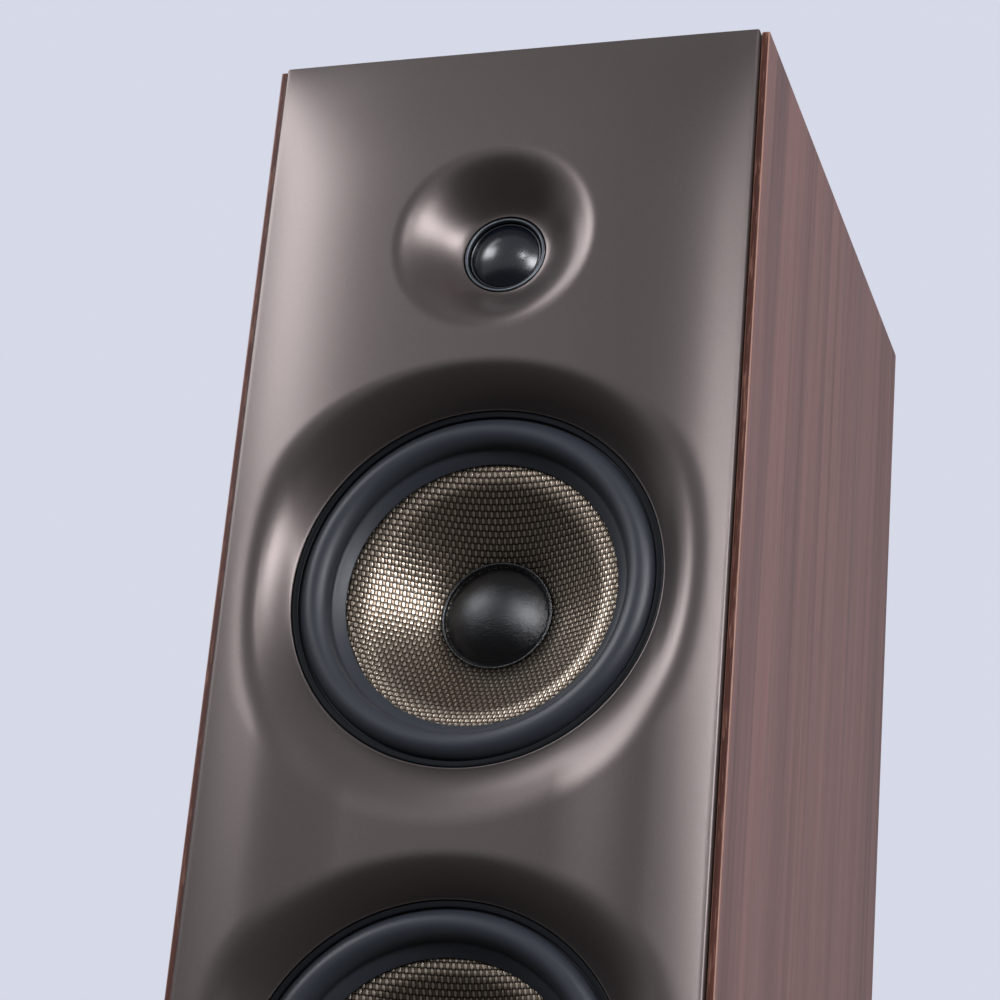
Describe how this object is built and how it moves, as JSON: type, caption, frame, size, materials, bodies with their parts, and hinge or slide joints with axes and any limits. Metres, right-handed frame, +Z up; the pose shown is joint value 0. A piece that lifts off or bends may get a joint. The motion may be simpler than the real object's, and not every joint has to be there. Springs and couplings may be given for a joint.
{
  "type": "floorstanding speaker",
  "caption": "Slim floorstanding loudspeaker: sculpted metallic front with waveguide tweeter and woven-cone woofers, wood-veneer sides, rear reflex port and binding posts, on a plinth with feet.",
  "frame": {"origin": "centre of the bounding box at floor level, under the plinth", "axes": "+Z up; the front baffle faces -Y; +X is to the right of somebody facing the front"},
  "size_m": [0.25, 0.34, 1.01],
  "materials": {
    "baffle_paint": "satin metallic paint over a moulded panel",
    "veneer": "satin reddish-brown veneer, vertical grain",
    "rear_lacquer": "satin dark lacquer",
    "mdf": "raw fibreboard",
    "foam": "open-cell foam",
    "gasket": "closed-cell foam rubber",
    "black_steel": "black zinc",
    "ring_plastic": "satin black moulding",
    "soft_dome": "coated cloth",
    "surround_rubber": "satin rubber",
    "woven_cone": "bronze-gold woven fibre under clear resin",
    "cap_paper": "finely grained satin black",
    "copper": "enamelled copper wire",
    "spider_cloth": "impregnated cloth",
    "zinc_steel": "zinc-plated",
    "ferrite": "sintered ferrite",
    "cast_frame": "cast, dark powder coat",
    "satin_aluminium": "turned",
    "moulded_plastic": "moulded, fine grain",
    "terminal_aluminium": "brushed, dark anodised",
    "gold_brass": "gold-plated",
    "red_cap": "moulded",
    "black_cap": "moulded",
    "circuit_board": "solder mask",
    "capacitor_film": "wrapped film",
    "cement": "cast cement",
    "plinth_lacquer": "satin black lacquer",
    "foot_metal": "turned, satin",
    "foot_rubber": "matte"
  },
  "bodies": {
    "cabinet": {"binding_posts": "gold_brass", "bottom_panel": "veneer", "brace_lower": "mdf", "brace_upper": "mdf", "crossover_board": "circuit_board", "crossover_capacitors": "capacitor_film", "crossover_inductors": "copper", "crossover_resistors": "cement", "damping_pads": "foam", "feet": "foot_metal", "foot_lock_nuts": "foot_metal", "foot_pads": "foot_rubber", "front_baffle": "baffle_paint", "inner_baffle": "mdf", "plinth": "plinth_lacquer", "plinth_bolts": "black_steel", "port_tube": "moulded_plastic", "post_collars": "moulded_plastic", "post_nuts": "zinc_steel", "rear_panel": "rear_lacquer", "side_panel_left": "veneer", "side_panel_right": "veneer", "terminal_plate": "terminal_aluminium", "terminal_screws": "black_steel", "top_panel": "veneer", "tweeter_faceplate": "ring_plastic", "tweeter_magnet": "ferrite", "tweeter_rear_chamber": "satin_aluminium", "tweeter_screws": "black_steel", "tweeter_surround": "soft_dome", "tweeter_top_plate": "zinc_steel", "tweeter_yoke": "zinc_steel", "woofer_1_basket": "cast_frame", "woofer_1_magnet": "ferrite", "woofer_1_spider": "spider_cloth", "woofer_1_surround": "surround_rubber", "woofer_1_top_plate": "zinc_steel", "woofer_1_trim_ring": "ring_plastic", "woofer_1_yoke": "zinc_steel", "woofer_2_basket": "cast_frame", "woofer_2_magnet": "ferrite", "woofer_2_spider": "spider_cloth", "woofer_2_surround": "surround_rubber", "woofer_2_top_plate": "zinc_steel", "woofer_2_trim_ring": "ring_plastic", "woofer_2_yoke": "zinc_steel", "woofer_gaskets": "gasket", "woofer_screws": "black_steel"},
    "woofer_1_moving": {"woofer_1_cone": "woven_cone", "woofer_1_dust_cap": "cap_paper", "woofer_1_voice_coil": "copper"},
    "woofer_2_moving": {"woofer_2_cone": "woven_cone", "woofer_2_dust_cap": "cap_paper", "woofer_2_voice_coil": "copper"},
    "tweeter_moving": {"tweeter_dome": "soft_dome", "tweeter_voice_coil": "copper"},
    "red_washer": {"post_washer_red": "gold_brass"},
    "red_cap": {"post_cap_red": "red_cap"},
    "black_washer": {"post_washer_black": "gold_brass"},
    "black_cap": {"post_cap_black": "black_cap"}
  },
  "joints": [
    {"name": "woofer_1_travel", "type": "slide", "parent": "cabinet", "child": "woofer_1_moving", "axis": [0, -1, 0], "range_m": [-0.005, 0.005], "stiffness_N_per_m": 1000, "deforming": ["woofer_1_surround", "woofer_1_spider"]},
    {"name": "woofer_2_travel", "type": "slide", "parent": "cabinet", "child": "woofer_2_moving", "axis": [0, -1, 0], "range_m": [-0.005, 0.005], "stiffness_N_per_m": 1000, "deforming": ["woofer_2_surround", "woofer_2_spider"]},
    {"name": "tweeter_travel", "type": "slide", "parent": "cabinet", "child": "tweeter_moving", "axis": [0, -1, 0], "range_m": [-0.0003, 0.0003], "stiffness_N_per_m": 7500, "deforming": ["tweeter_surround"]},
    {"name": "black_washer_slide", "type": "slide", "parent": "cabinet", "child": "black_washer", "axis": [0, 1, 0], "range_m": [0, 0.005]},
    {"name": "black_cap_turn", "type": "hinge", "parent": "black_washer", "child": "black_cap", "pos_m": [-0.00953, 0.16, 0.16], "axis": [0, 1, 0], "range_deg": [0, 1800]},
    {"name": "red_washer_slide", "type": "slide", "parent": "cabinet", "child": "red_washer", "axis": [0, 1, 0], "range_m": [0, 0.005]},
    {"name": "red_cap_turn", "type": "hinge", "parent": "red_washer", "child": "red_cap", "pos_m": [0.00953, 0.16, 0.16], "axis": [0, 1, 0], "range_deg": [0, 1800]}
  ],
  "couplings": [
    {"joint": "black_cap_turn", "follows": "black_washer_slide", "rad_per_m": 6283.2},
    {"joint": "red_cap_turn", "follows": "red_washer_slide", "rad_per_m": 6283.2}
  ]
}
